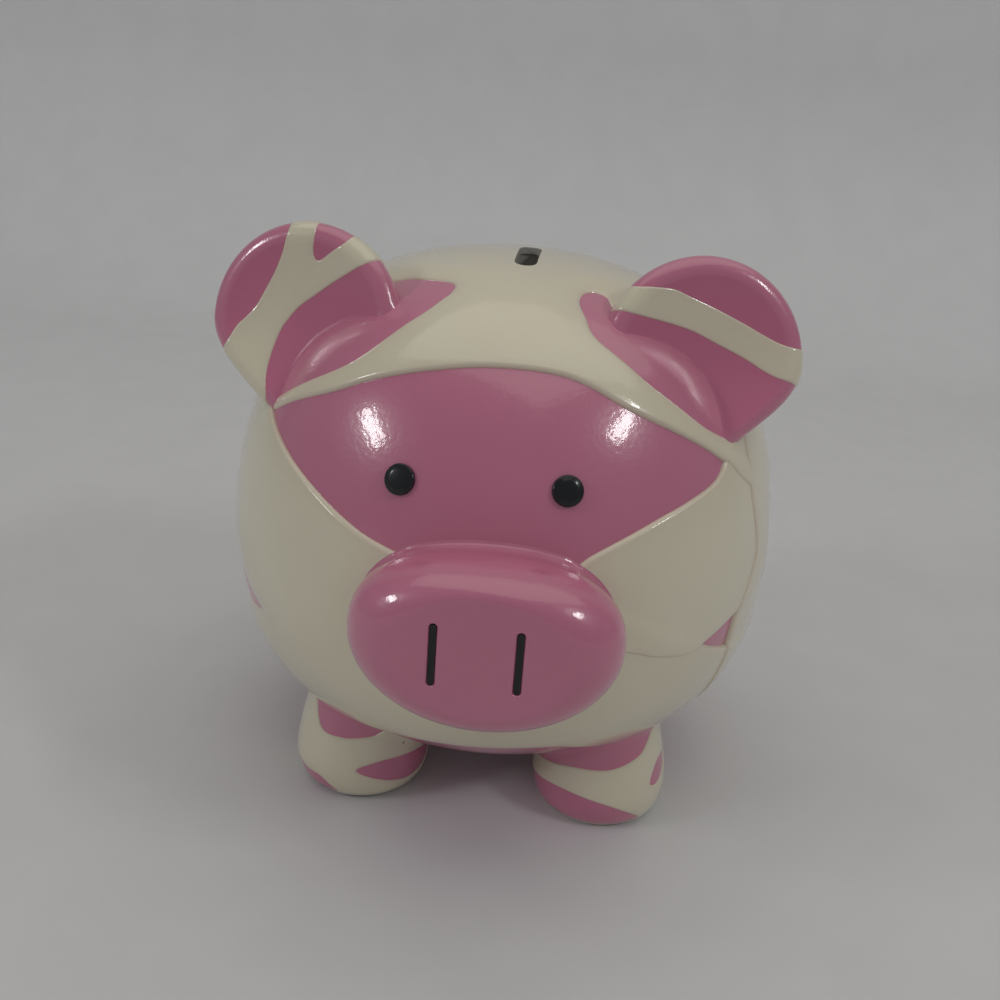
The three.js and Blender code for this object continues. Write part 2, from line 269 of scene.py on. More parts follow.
def use_second(mesh, where):
    """Gives the faces for which where is true the mesh's second material."""
    mesh.polygons.foreach_set("material_index", np.array(where, np.int32))


def note_edge_thinning_and_shade(piece, gaps, fade, strength=1.0):
    """Tells the glaze how near each point of a layer's top, and of its bottom, is to the edge, where the
    glaze is drawn darker: thinner glaze, and painted shade for the crease at the edge's foot.
    """
    edge = strength * np.exp(-gaps / fade)
    attribute = piece.data.attributes.new("edge", "FLOAT", "POINT")
    attribute.data.foreach_set("value", np.asarray(np.r_[edge, edge], np.float32))


def ring_faces(first, second, size):
    """Quads between two rings of this many points, which start at these two numbers."""
    return [(first + i, first + (i + 1) % size, second + (i + 1) % size, second + i) for i in range(size)]


def grid_faces(rows, columns):
    """Quads of a grid of rows by columns, each row closing up into a ring."""
    return [face for i in range(rows - 1) for face in ring_faces(i * columns, (i + 1) * columns, columns)]


def capped_grid(rows, columns):
    """Quads of a closed grid, with a face over the hole at each end."""
    last = (rows - 1) * columns
    return [*grid_faces(rows, columns), tuple(reversed(range(columns))), tuple(range(last, last + columns))]


def pointed_grid(rows, columns):
    """Faces of a grid that closes in a point at each end. The two points come after the grid's."""
    count = rows * columns
    last = count - columns
    faces = grid_faces(rows, columns)
    faces += [((j + 1) % columns, j, count) for j in range(columns)]
    faces += [(last + j, last + (j + 1) % columns, count + 1) for j in range(columns)]
    return faces


def turned_mesh(profile, segments):
    """Points and faces of a turned form about Z, from a profile of (radius, height) that starts and
    ends on the axis."""
    angles = turns(segments)
    rings = [np.stack([r * np.cos(angles), r * np.sin(angles), np.full(segments, z)], -1)
             for r, z in profile[1:-1]]
    points = np.vstack([*rings, [[0, 0, profile[0][1]], [0, 0, profile[-1][1]]]])
    return points, pointed_grid(len(rings), segments)


def rounded_profile(corners, radii, steps=6):
    """A profile through corners, each rounded by its own radius."""
    p = [np.array(c, float) for c in corners]
    out = [p[0]]
    for before, corner, after, radius in zip(p, p[1:], p[2:], radii):
        a, b = before - corner, after - corner
        la, lb = np.linalg.norm(a), np.linalg.norm(b)
        a, b = a / la, b / lb
        half = math.acos(max(-1, min(1, float(a @ b)))) / 2
        cut = min(radius / math.tan(half), 0.48 * la, 0.48 * lb)
        start, end = corner + a * cut, corner + b * cut
        out += [(1 - t) ** 2 * start + 2 * t * (1 - t) * corner + t * t * end
                for t in np.linspace(0, 1, steps + 1)]
    return [tuple(q) for q in [*out, p[-1]]]


# ---- patches: a raised, soft-edged layer over a surface, from an outline in the surface's chart ----
def inside(points, loops):
    """Which points are inside the loops, counting a loop in a loop as a hole."""
    odd = np.zeros(len(points), bool)
    for loop in loops:
        a, b = loop, np.roll(loop, -1, axis=0)
        for lo in range(0, len(points), 4000):
            x, y = points[lo:lo + 4000, 0:1], points[lo:lo + 4000, 1:2]
            crosses = (a[:, 1] > y) != (b[:, 1] > y)
            rise = np.where(b[:, 1] == a[:, 1], 1e-12, b[:, 1] - a[:, 1])
            at = a[:, 0] + (y - a[:, 1]) * (b[:, 0] - a[:, 0]) / rise
            odd[lo:lo + 4000] ^= ((crosses & (x < at)).sum(1) % 2).astype(bool)
    return odd


def distance(points, loops):
    """The distance from each point to the nearest loop."""
    best = np.full(len(points), 1e9)
    for loop in loops:
        a, d = loop, np.roll(loop, -1, axis=0) - loop
        size = np.maximum((d * d).sum(1), 1e-12)
        for lo in range(0, len(points), 2000):
            p = points[lo:lo + 2000, None]
            t = np.clip(((p - a) * d).sum(-1) / size, 0, 1)
            near = np.linalg.norm(p - a - t[..., None] * d, axis=-1).min(1)
            best[lo:lo + 2000] = np.minimum(best[lo:lo + 2000], near)
    return best


def evenly(loop, step):
    """A closed loop resampled at even steps, its corners softened, running anticlockwise."""
    p = np.vstack([loop, loop[:1]])
    s = np.r_[0, np.cumsum(np.linalg.norm(np.diff(p, axis=0), axis=1))]
    t = np.linspace(0, s[-1], max(8, int(s[-1] / step)) + 1)[:-1]
    out = np.stack([np.interp(t, s, p[:, 0]), np.interp(t, s, p[:, 1])], -1)
    for _ in range(2):
        out = (np.roll(out, 1, 0) + 2 * out + np.roll(out, -1, 0)) / 4
    area = (out[:, 0] * np.roll(out[:, 1], -1) - np.roll(out[:, 0], -1) * out[:, 1]).sum()
    return out if area > 0 else out[::-1]


def swell(gap, width):
    """The rounded shoulder of an edge: 0 at the outline, 1 from width inwards."""
    t = np.clip(gap / width, 0, 1)
    return np.sqrt(1 - (1 - t) ** 2)


def smooth(t):
    """A soft step: 0 where t is 0 or less, 1 where it is 1 or more."""
    t = np.clip(t, 0, 1)
    return t * t * (3 - 2 * t)


# The rings inside an outline, as shares of the edge's width. In tight places they reach less far in.
EDGE_SHARES = (0.0, 0.04, 0.12, 0.27, 0.5, 0.75, 1.0)
REACH_SHARES = (0.2, 0.4, 0.6, 0.8, 1.0)
REACH_LEAST, REACH_CLEAR, REACH_SKIP = 0.1, 0.93, 0.21
ROW_PITCH = 0.866  # of a triangular grid


def patch(outline, holes, width=1.3, step=1.0, spacing=2.2):
    """Plans a patch: its chart points, its faces, the points of its outer rings, and the distance of
    each point from an edge."""
    loops = [evenly(outline, step), *[evenly(hole, step)[::-1] for hole in holes]]
    points, faces, borders, inner = [], [], [], []
    count = 0
    for loop in loops:
        tangent = np.roll(loop, -1, 0) - np.roll(loop, 1, 0)
        inward = np.stack([-tangent[:, 1], tangent[:, 0]], -1)
        inward /= np.linalg.norm(inward, axis=1, keepdims=True)
        reach = np.full(len(loop), REACH_LEAST * width)
        for share in REACH_SHARES:
            tried = loop + inward * width * share
            clear = distance(tried, loops) > REACH_CLEAR * width * share
            reach = np.where(clear & (reach >= (share - REACH_SKIP) * width), width * share, reach)
        for _ in range(3):
            reach = np.minimum(reach, (np.roll(reach, 1) + np.roll(reach, -1)) / 2 + REACH_LEAST * width)
        size = len(loop)
        for ring, share in enumerate(EDGE_SHARES):
            points.append(loop + inward * (reach * share)[:, None])
            if ring:
                base = count + (ring - 1) * size
                faces += ring_faces(base, base + size, size)
        borders.append(np.arange(count, count + size))
        count += size * len(EDGE_SHARES)
        inner.append(np.arange(count - size, count))
    points = np.vstack(points)
    low, high = loops[0].min(0), loops[0].max(0)
    rows = np.arange(low[1], high[1], spacing * ROW_PITCH)
    columns = np.arange(low[0], high[0], spacing)
    x, y = np.meshgrid(columns, rows)
    x = x + (np.arange(len(rows)) % 2)[:, None] * spacing / 2
    middle = np.stack([x.ravel(), y.ravel()], -1)
    middle = middle[inside(middle, loops)]
    middle = middle[distance(middle, loops) > width + 0.45 * step]
    points = np.vstack([points, middle])
    used = np.r_[np.concatenate(inner), np.arange(count, len(points))]
    edges, at = [], 0
    for ring in inner:
        edges += [(at + i, at + (i + 1) % len(ring)) for i in range(len(ring))]
        at += len(ring)
    made = delaunay_2d_cdt([Vector(p) for p in points[used]], edges, [], 0, 1e-5)
    where, extra = [], []
    for vert, origin in zip(made[0], made[3]):
        if origin:
            where.append(used[origin[0]])
        else:
            where.append(len(points) + len(extra))
            extra.append(vert[:])
    if extra:
        points = np.vstack([points, extra])
    triangles = np.array([[where[v] for v in f] for f in made[2]])
    rims = [points[ring] for ring in inner]
    triangles = triangles[inside(points[triangles].mean(1), rims)]
    faces += [tuple(t) for t in triangles]
    return points, faces, borders, np.where(inside(points, loops), distance(points, loops), 0)


def closed_patch(plan, top, bottom):
    """Points and faces of a patch as a closed solid, from its top and bottom surface points."""
    _, faces, borders, _ = plan
    count = len(top)
    points = np.vstack([top, bottom])
    solid = list(faces) + [tuple(v + count for v in reversed(f)) for f in faces]
    for ring in borders:
        solid += [(ring[(i + 1) % len(ring)], ring[i], ring[i] + count, ring[(i + 1) % len(ring)] + count)
                  for i in range(len(ring))]
    return points, solid


# ---- materials ----
def feed(tree, socket, value):
    """Links a socket to the one it gets its value from, or sets its own value."""
    if isinstance(value, bpy.types.NodeSocket):
        tree.links.new(value, socket)
    else:
        socket.default_value = (*value, 1.0) if socket.type == "RGBA" else value


def add(tree, kind, inputs=None, **settings):
    node = tree.nodes.new(kind)
    for key, value in settings.items():
        setattr(node, key, value)
    for socket, value in (inputs or {}).items():
        feed(tree, node.inputs[socket], value)
    return node


def new_material(name):
    material = bpy.data.materials.new(name)
    material.use_nodes = True
    tree = material.node_tree
    tree.nodes.clear()
    shader = add(tree, "ShaderNodeBsdfPrincipled")
    out = add(tree, "ShaderNodeOutputMaterial")
    tree.links.new(shader.outputs[0], out.inputs[0])
    return material, tree, shader


def blend_colour(tree, amount, first, second):
    node = add(tree, "ShaderNodeMix", {0: amount}, data_type="RGBA")
    for socket, value in zip([s for s in node.inputs if s.type == "RGBA"], (first, second)):
        feed(tree, socket, value)
    return [s for s in node.outputs if s.type == "RGBA"][0]


def ramp(tree, value, low, high, to_low=0.0, to_high=1.0):
    node = add(tree, "ShaderNodeMapRange", {0: value, 1: low, 2: high, 3: to_low, 4: to_high})
    node.interpolation_type = "SMOOTHSTEP"
    return node.outputs[0]


def noise(tree, place, scale, detail):
    return add(tree, "ShaderNodeTexNoise", {"Vector": place, "Scale": scale, "Detail": detail}).outputs[0]


def glaze(name, colour, shade, edge=None, specks=None, coat=1.0, blur=0.09, peel=0.12):
    """A glossy ceramic glaze: a tone that drifts, darker near the edges of a relief where it thins and where
    painted shade stands in for the crease at the edge's foot, a few specks fired into it, and the slight
    orange peel of a sprayed coat."""
    material, tree, shader = new_material(name)
    place = add(tree, "ShaderNodeTexCoord").outputs["Object"]
    drift = noise(tree, place, 16.0, 3.0)
    base = blend_colour(tree, ramp(tree, drift, 0.3, 0.7), colour, shade)
    # Darker near a relief's edge: the glaze thins there, and painted shade stands in for the crease at the
    # edge's foot.
    if edge:
        near = add(tree, "ShaderNodeAttribute", attribute_name="edge").outputs["Fac"]
        base = blend_colour(tree, near, base, edge)
    if specks:
        cells = add(tree, "ShaderNodeTexVoronoi", {"Vector": place, "Scale": 55.0, "Randomness": 1.0})
        chosen = add(tree, "ShaderNodeSeparateColor", {0: cells.outputs["Color"]}).outputs[0]
        rare = ramp(tree, chosen, 0.8, 0.81)  # about one cell in five has a speck
        dot = ramp(tree, cells.outputs["Distance"], 0.02, 0.035, 1.0, 0.0)
        spot = add(tree, "ShaderNodeMath", {0: rare, 1: dot}, operation="MULTIPLY").outputs[0]
        base = blend_colour(tree, spot, base, specks)
    tree.links.new(base, shader.inputs["Base Color"])
    fine = noise(tree, place, 700.0, 2.0)
    broad = noise(tree, place, 120.0, 1.0)
    height = add(tree, "ShaderNodeMath", {0: broad, 1: fine}, operation="ADD")
    bump = add(tree, "ShaderNodeBump", {"Strength": peel, "Distance": 0.0004, "Height": height.outputs[0]})
    tree.links.new(bump.outputs[0], shader.inputs["Normal"])
    tree.links.new(bump.outputs[0], shader.inputs["Coat Normal"])
    constants = {"Roughness": 0.28, "Coat Weight": coat, "Specular IOR Level": 0.5 * coat,
                 "Coat Roughness": blur, "Coat IOR": 1.5}
    for socket, value in constants.items():
        shader.inputs[socket].default_value = value
    return material


def dull(name, colour, shade, roughness, scale, bump_size):
    material, tree, shader = new_material(name)
    place = add(tree, "ShaderNodeTexCoord").outputs["Object"]
    grain = noise(tree, place, scale, 4.0)
    tree.links.new(blend_colour(tree, ramp(tree, grain, 0.35, 0.65), colour, shade),
                   shader.inputs["Base Color"])
    bump = add(tree, "ShaderNodeBump", {"Strength": 0.4, "Distance": bump_size, "Height": grain})
    tree.links.new(bump.outputs[0], shader.inputs["Normal"])
    shader.inputs["Roughness"].default_value = roughness
    return material


# The pinks' edge tone is painted shade for the crease under a wrap's edge; it shows only on pieces that carry
# the edge attribute.
PINK_TONES = {"colour": (0.56, 0.17, 0.27), "shade": (0.53, 0.155, 0.25), "edge": (0.43, 0.10, 0.18)}
PINK = glaze("pink_glaze_skin", **PINK_TONES)
PINK_POOLED = glaze("pink_glaze_pooled", **PINK_TONES, coat=0.4, blur=0.3)
# The cream's edge tone is darker and pinker where the glaze thins over a relief's edge, and darker too as
# painted shade for the crease at the edge's foot.
CREAM = glaze("cream_glaze_wraps", (0.71, 0.65, 0.485), (0.675, 0.615, 0.455), edge=(0.65, 0.54, 0.42),
              specks=(0.07, 0.05, 0.03))
BLACK = glaze("black_glaze_details", (0.004, 0.004, 0.006), (0.007, 0.007, 0.009), coat=0.45, peel=0.03)
# Bare clay, set darker than its own tone as painted shade, so that the walls inside the coin slot don't look
# lit.
SHADE_DARKENED_BISQUE = dull("bare_bisque_darkened_for_shade", (0.36, 0.345, 0.31), (0.31, 0.295, 0.265), 0.85, 900, 0.0002)
RUBBER = dull("stopper_rubber_satin", (0.42, 0.40, 0.37), (0.38, 0.36, 0.33), 0.5, 400, 0.0001)
FLOOR = dull("floor_paint", (0.65, 0.645, 0.65), (0.635, 0.63, 0.635), 0.6, 30, 0.0001)

# ---- the bandages' outlines, as [longitude, latitude] in degrees ----
# Longitude runs from the front round the pig's left side. The first wrap lies over those after it.
# Each outline is a loop of smooth edges, about the direction its chart is centred on. An edge ends where
# the next one starts.
WRAPS = {
    "side_wrap_left": ((82, -8), [
        [(64, 32), (62.3, 16), (64.8, 2), (63, -3), (59.2, -11), (58.8, -20), (60, -32)],
        [(66, -45), (85, -50)],
        [(106, -48), (103, -20), (100, 10)],
        [(98, 32), (80, 37)]]),
    "crown_wrap": ((0, 75), [
        [(-56.3, 24.6), (-39.4, 33.4), (-28, 39.2), (-14.6, 43.7), (-2, 45.9), (13.4, 45.4), (21, 43),
         (30.5, 37.2), (41, 31.7), (54, 23.5), (60, 18)],
        [(72, 8), (92, 16)],
        [(112, 30), (150, 45), (180, 49), (-150, 45)],
        [(-116, 25), (-96, 31), (-74, 32), (-64, 28)]]),
    "cheek_wrap_left": ((45, 4), [
        [(10, 2), (17, 6.3), (21.5, 9.5), (33.4, 14.8), (41, 17.3), (51, 20.8), (58, 27)],
        [(75, 30), (76, 10)],
        [(75, -8), (60, -11.1)],
        [(48, -15.3), (43, -16.2), (35, -14.5), (28, -12)],
        [(10, -9), (9, -3)]]),
    "jaw_wrap": ((-5, -25), [
        [(-8, 5), (-20, 8), (-27, 10.8), (-35.5, 14.7), (-44, 18.4), (-54.5, 23.3)],
        [(-64, 29), (-74, 34)],
        [(-86, 34), (-90, 10), (-87, -12)],
        [(-90, -42), (-60, -45), (-40, -46), (-12, -43.5), (16, -41.5), (26, -44), (40, -48)],
        [(75, -42), (74, -30)],
        [(75, -20), (60, -20.3), (54, -18.4)],
        [(48, -15.3), (28, -4), (10, 2)]]),
    "rump_wrap": ((180, 4), [
        [(-104, 30), (-128, 26), (-150, 19), (180, 14), (150, 4), (128, -8)],
        [(104, -16), (103, -24)],
        [(104, -32), (130, -24), (150, -14), (180, -6), (-150, 2), (-128, 8)],
        [(-104, 12), (-103, 20)]]),
    "side_wrap_right": ((-100, -6), [
        [(-84, 36), (-82, 15), (-81, -6), (-83, -28)],
        [(-80, -46), (-96, -50)],
        [(-114, -46), (-116, -10)],
        [(-110, 34), (-98, 38)]]),
    "back_wrap_upper": ((180, 30), [
        [(100, 34), (140, 48), (180, 52), (-140, 48)],
        [(-100, 34), (-101, 20)],
        [(-100, 8), (-130, 14), (-155, 21), (180, 24), (150, 15), (125, 6)],
        [(100, 2), (101, 18)]]),
    "back_wrap_lower": ((180, -30), [
        [(98, -30), (125, -27), (150, -22), (180, -15), (-150, -8), (-125, -5)],
        [(-98, -4), (-97, -20)],
        [(-98, -42), (-140, -47), (180, -49), (140, -47)],
        [(98, -42), (99, -36)]]),
}
# Places where the pink skin shows through a wrap.
WINDOWS = {
    "crown_wrap": [
        [[(66, 24.5), (59.5, 27), (50, 32.2), (39.7, 41.1), (33, 48.3), (27.2, 54.7), (26.9, 60),
          (27.8, 64.7), (32.5, 67.6), (38.5, 68), (41.5, 66.2), (40, 63.8), (39, 60.8)],
         [(41, 58), (53, 57), (66, 47), (72, 36)]],
        [[(-62, 26.5), (-55.8, 29), (-38, 40.8), (-27.3, 55.4)],
         [(-22.4, 64.4), (-26, 67.8)],
         [(-47, 66), (-60, 58), (-68, 46), (-70, 36)]]],
    "jaw_wrap": [
        [[(-51, -20.5), (-58, -17.5), (-66, -13)],
         [(-78, -10), (-79, -18)],
         [(-78, -27), (-64, -24)]]],
}
WRAP_HEIGHT, WRAP_EDGE, WRAP_SUNK, WRAP_CREASE = 1.15, 1.4, 0.4, 60
WRAP_DRAPE, DRAPE_SOFT = 0.45, 1.6  # the share of the wraps below that shows through, and its softness
WRAP_FADE = 1.2  # how far in from its edges a wrap's glaze is darker, where it thins and where painted shade marks the crease at its foot
WINDOW_HEIGHT, WINDOW_EASE = 0.4, 9  # a wrap's height at a window, and how far off it is back to full
SLOT_X, SLOT_Y, SLOT_WIDTH, SLOT_LENGTH = 2.5, -8.5, 6.5, 27.0
CHART_RADIUS = 80.0


def chart_axes(lon, lat):
    middle = direction(lon, lat)
    across = direction(lon + 90, 0)
    return middle, across, np.cross(middle, across)


def to_chart(way, axes):
    """Where a direction from the body's centre is on the flat chart about axes (equal distances)."""
    middle, across, up = axes
    angle = np.arccos(np.clip(way @ middle, -1, 1))
    sine = np.maximum(np.sin(angle), 1e-9)
    return np.stack([way @ across, way @ up], -1) * (angle / sine * CHART_RADIUS)[..., None]


def from_chart(points, axes):
    middle, across, up = axes
    size = np.maximum(np.linalg.norm(points, axis=-1), 1e-9)
    angle = size / CHART_RADIUS
    x, y = points[..., 0] / size, points[..., 1] / size
    return (np.cos(angle)[..., None] * middle
            + np.sin(angle)[..., None] * (x[..., None] * across + y[..., None] * up))


def outline_on(edges, axes):
    loop = []
    for edge, following in zip(edges, edges[1:] + edges[:1]):
        ends = to_chart(np.array([direction(*p) for p in [*edge, following[0]]]), axes)
        loop.append((curve_through(ends) if len(ends) > 2 else ends)[:-1])
    return np.vstack(loop)


def way_of(points):
    """The direction whose on_body point is nearest above or below each point."""
    q = points - CENTRE
    u = np.clip(q[..., 2] / HALF_HEIGHT, -1, 1)
    x, y = q[..., 0] / HALF_WIDTH, q[..., 1] / HALF_DEPTH
    size = np.maximum(np.hypot(x, y), 1e-9)
    flat = np.sqrt(1 - u * u)
    return np.stack([x / size * flat, y / size * flat, u], -1)


def stadium(width, length, count=24):
    turn = np.linspace(0, np.pi, count)
    half = width / 2
    end = np.stack([half * np.cos(turn), half * np.sin(turn) + length / 2 - half], -1)
    return np.vstack([end, -end])


def slot_ways():
    """Directions round the coin slot's edge, each found by halving the range its height is in."""
    loop = stadium(SLOT_WIDTH, SLOT_LENGTH) + [SLOT_X, SLOT_Y]
    share = np.hypot(loop[:, 0] / HALF_WIDTH, loop[:, 1] / HALF_DEPTH)
    low, high = np.full(len(loop), 0.3), np.ones(len(loop))
    for _ in range(40):
        u = (low + high) / 2
        wide = girth(u) > share
        low, high = np.where(wide, u, low), np.where(wide, high, u)
    return way_of(np.stack([loop[:, 0], loop[:, 1], low * HALF_HEIGHT + CENTRE[2]], -1))


charts = {}
for name, (middle, edges) in WRAPS.items():
    axes = chart_axes(*middle)
    holes = [outline_on(window, axes) for window in WINDOWS.get(name, [])]
    charts[name] = (axes, outline_on(edges, axes), holes)


def cover(way, names, soft):
    """How much the named wraps cover each direction, from 0 to 1, with edges soft mm to either side."""
    covered = np.zeros(len(way))
    for name in names:
        axes, outline, holes = charts[name]
        loops = [outline[::2], *[hole[::2] for hole in holes]]
        flat = to_chart(way, axes)
        gap = distance(flat, loops)
        gap = np.where(inside(flat, loops), gap, -gap)
        covered = np.maximum(covered, smooth(gap / soft / 2 + 0.5))
    return covered


LUTED_SHARE = 0.92  # how far a flare leans over where it meets the body: at 1, flat on it
LUTED_SOFT = 1.2


def luted(points, normals, radius, raised=0.0):
    """A part's surface, flared where it meets the body and its wraps, and raised by a layer of glaze."""
    gap, away = body_gap(points)
    near = np.abs(gap) < radius + 2
    if near.any():
        top = np.zeros(len(points))
        top[near] = WRAP_HEIGHT * cover(way_of(points[near]), WRAPS, LUTED_SOFT)
        gap = gap - top
    t = LUTED_SHARE * np.clip(1 - gap / radius, 0, 1)
    level = np.sqrt(1 - t * t)
    outward = (normals * away).sum(-1, keepdims=True)
    beside = normals - outward * away
    lean = normals * level[..., None] + away * t[..., None]
    lean /= np.maximum(np.linalg.norm(lean, axis=-1, keepdims=True), 1e-9)
    raised = np.broadcast_to(raised, len(points))
    return points + beside * (radius * (1 - level))[..., None] + lean * raised[..., None]


# ---- the body's skin, with the coin slot and the stopper hole ----
def prism(outline, low, high):
    count = len(outline)
    points = np.vstack([np.c_[outline, np.full(count, z)] for z in (low, high)])
    faces = [tuple(reversed(range(count))), tuple(range(count, 2 * count))]
    faces += ring_faces(0, count, count)
    return points, faces


def cutter(points, faces):
    return put("cutter", mesh_of("cutter", points, faces))


def body_form(offset, rows, columns):
    lat = np.linspace(-90, 90, rows + 1)[1:-1]
    lon = np.arange(columns) * 360 / columns
    way = direction(*np.meshgrid(lon, lat)).reshape(-1, 3)
    points = np.vstack([on_body(way, offset), on_body(np.array([[0, 0, -1.0], [0, 0, 1.0]]), offset)])
    return points, facing_out(points, pointed_grid(rows - 1, columns))


def cut(base, cutters):
    for each in cutters:
        modifier = base.modifiers.new("cut", "BOOLEAN")
        modifier.operation, modifier.solver, modifier.object = "DIFFERENCE", "EXACT", each
    bpy.context.view_layer.update()
    made = bpy.data.meshes.new_from_object(base.evaluated_get(bpy.context.evaluated_depsgraph_get()))
    for each in [base, *cutters]:
        bpy.data.objects.remove(each)
    return made


HOLE_RADIUS, HOLE_SIDES, HOLE_CUT = 15.0, 96, (-5, 40)
SLOT_PLAY, SLOT_CUT = 0.3, (140, 180)
BARE_BELOW = 0.25  # faces deeper in the body than this are bare clay
SKIN_CREASE = 35
ring = turns(HOLE_SIDES)
hole_outline = HOLE_RADIUS * np.stack([np.cos(ring), np.sin(ring)], -1)
slot_outline = stadium(SLOT_WIDTH + SLOT_PLAY, SLOT_LENGTH + SLOT_PLAY) + [SLOT_X, SLOT_Y]
skin_mesh = cut(cutter(*body_form(0, 110, 180)), [
    cutter(*body_form(-WALL, 48, 80)),
    cutter(*prism(slot_outline, *SLOT_CUT)),
    cutter(*prism(hole_outline, *HOLE_CUT))])
skin = put("body_skin", skin_mesh)
skin_mesh.materials.clear()
for material in (PINK, SHADE_DARKENED_BISQUE):
    skin_mesh.materials.append(material)
centres = np.array([face.center for face in skin_mesh.polygons]) / MM
use_second(skin_mesh, body_gap(centres)[0] < -BARE_BELOW)
skin_mesh.shade_smooth()
skin_mesh.set_sharp_from_angle(angle=math.radians(SKIN_CREASE))
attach(skin, "bank")
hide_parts("body_shell")

# ---- the wraps ----
order = list(WRAPS)
for rank, name in enumerate(order):
    axes, outline, holes = charts[name]
    if name == "crown_wrap":
        holes = [*holes, to_chart(slot_ways(), axes)]
    plan = patch(outline, holes, WRAP_EDGE)
    flat, _, borders, gaps = plan
    way = from_chart(flat, axes)
    drape = cover(way, order[rank + 1:], DRAPE_SOFT) * WRAP_HEIGHT * WRAP_DRAPE
    thick = np.full(len(way), WRAP_HEIGHT)
    if WINDOWS.get(name):
        full = smooth(distance(flat, charts[name][2]) / WINDOW_EASE)
        thick = WINDOW_HEIGHT + (WRAP_HEIGHT - WINDOW_HEIGHT) * full
    if name == "crown_wrap":  # the slot is cut straight through, so its edge isn't rounded
        gaps = distance(flat, [outline, *charts[name][2]])
    height = drape - WRAP_SUNK + (thick + WRAP_SUNK) * swell(gaps, WRAP_EDGE)
    base, above = on_body(way, 0.0), on_body(way, 1.0)
    top, bottom = base + (above - base) * height[:, None], base - 2 * WRAP_SUNK * (above - base)
    points, solid = closed_patch(plan, top, bottom)
    band = mesh_piece(f"{name}_band", points, solid, [CREAM, SHADE_DARKENED_BISQUE],
                      replaces=[name], sharp=WRAP_CREASE)
    if name == "crown_wrap":  # its last faces are those of the slot's cut edge
        use_second(band.data, np.arange(len(band.data.polygons)) >= len(solid) - len(borders[-1]))
    note_edge_thinning_and_shade(band, gaps, WRAP_FADE)


# ---- ears ----
LAYER_EDGE, LAYER_STEP, LAYER_SPACING = 0.8, 0.9, 1.8
LAYER_SUNK, LAYER_UNDER = 0.15, 0.6
# How far in from its edges a layer's glaze is darker, and how much: thinner glaze, with painted shade for the
# crease at its foot.
LAYER_FADE, LAYER_DARKER = 0.8, 0.6


def bandage(name, place, sign, outline, holes, fillet, relief, moved=0.0, lowest=-math.inf):
    """A thin layer of cream glaze on an ear or a foot, from an outline in its chart. It is moved along
    the chart's first way, and stays above the lowest height."""
    plan = patch(outline, holes, LAYER_EDGE, LAYER_STEP, LAYER_SPACING)
    flat, _, _, gaps = plan
    points, normals = with_normals(place, flat + [moved, 0])
    height = -LAYER_SUNK + (relief + LAYER_SUNK) * swell(gaps, LAYER_EDGE)
    top = luted(points, normals * sign, fillet, height)
    bottom = luted(points, normals * sign, fillet, -LAYER_UNDER)
    points, solid = closed_patch(plan, top, bottom)
    points[:, 2] = np.maximum(points[:, 2], lowest)
    band = mesh_piece(name, points, solid, [CREAM])
    note_edge_thinning_and_shade(band, gaps, LAYER_FADE, LAYER_DARKER)


def polar(points):
    """Chart points from (length along the profile, degrees round)."""
    p = np.array(points, float)
    return np.stack([p[:, 0] * np.cos(np.radians(p[:, 1])), p[:, 0] * np.sin(np.radians(p[:, 1]))], -1)


# Where the pink shows through the cream on each ear, as (length from the dish's middle, degrees round).
EAR_WINDOWS = {
    "right": [
        [(29.3, 88), (25.4, 86), (20.9, 78), (17.2, 63), (15.7, 44), (15.9, 26), (18, 13), (21, 4),
         (26.2, -8), (34, -12), (42, 2), (47, 22), (48, 45), (45, 68), (38, 86)],
        [(29.5, 105), (25.4, 106), (20.8, 105), (18.3, 109), (22.2, 119), (26.9, 126), (30.3, 126),
         (38, 126), (44, 116), (38, 106)],
        [(33.6, 148), (29.6, 146), (27, 145), (20.9, 140), (14, 130), (8.6, 112), (5.7, 70), (6, 20),
         (9.1, -9), (13.7, -28), (18.7, -41), (22.7, -50), (25.2, -56), (29, -62), (36, -90), (38, -130),
         (42, 180), (46, 165), (42, 152)],
    ],
    "left": [
        [(28.5, 147), (26.5, 143), (22, 129), (18.5, 118), (15, 92), (15.5, 57), (18.2, 39), (22.3, 27),
         (27, 22), (33, 20), (42, 24), (50, 50), (52, 90), (50, 130), (42, 148), (34, 150)],
        [(38, 166), (31.9, 166), (26.9, 163), (20.9, 158), (13.6, 145), (8.3, 119), (6.5, 61), (12.1, 18),
         (17.3, 6), (21.9, 2), (26, 1), (32, -2), (40, -8), (45, -25), (43, -50), (36, -90), (38, -130),
         (42, 180)],
    ],
}
EAR_RELIEF = 0.3
EAR_CREAM_TO = 64  # the cream ends this far along the profile, on the ear's back
EAR_POOL = 23.5  # within this length from the dish's middle the glaze has pooled, and shines less
EAR_ROWS, EAR_COLUMNS, EAR_MARGIN = 150, 200, 0.4
lengths = np.linspace(EAR_MARGIN, EAR_PROFILE[0][-1] - EAR_MARGIN, EAR_ROWS)
grid_s, grid_turn = np.meshgrid(lengths, turns(EAR_COLUMNS), indexing="ij")
chart = np.stack([grid_s * np.cos(grid_turn), grid_s * np.sin(grid_turn)], -1).reshape(-1, 2)
for side in ("left", "right"):
    place = ear_place(side)
    points, normals = with_normals(place, chart)
    sign = np.sign(-normals[0, 1])
    form = luted(points, normals * sign, EAR_FILLET)
    faces = capped_grid(EAR_ROWS, EAR_COLUMNS)
    bowl = mesh_piece(f"ear_{side}_bowl", form, faces, [PINK, PINK_POOLED],
                      replaces=[f"ear_{side}"])
    row = np.minimum(np.arange(len(faces)) // EAR_COLUMNS, EAR_ROWS - 1)
    use_second(bowl.data, lengths[row] < EAR_POOL)
    windows = [curve_through(polar(window), 6, closed=True) for window in EAR_WINDOWS[side]]
    outline = polar([(EAR_CREAM_TO, turn) for turn in range(0, 360, 3)])
    bandage(f"ear_{side}_bandage", place, sign, outline, windows, EAR_FILLET, EAR_RELIEF)

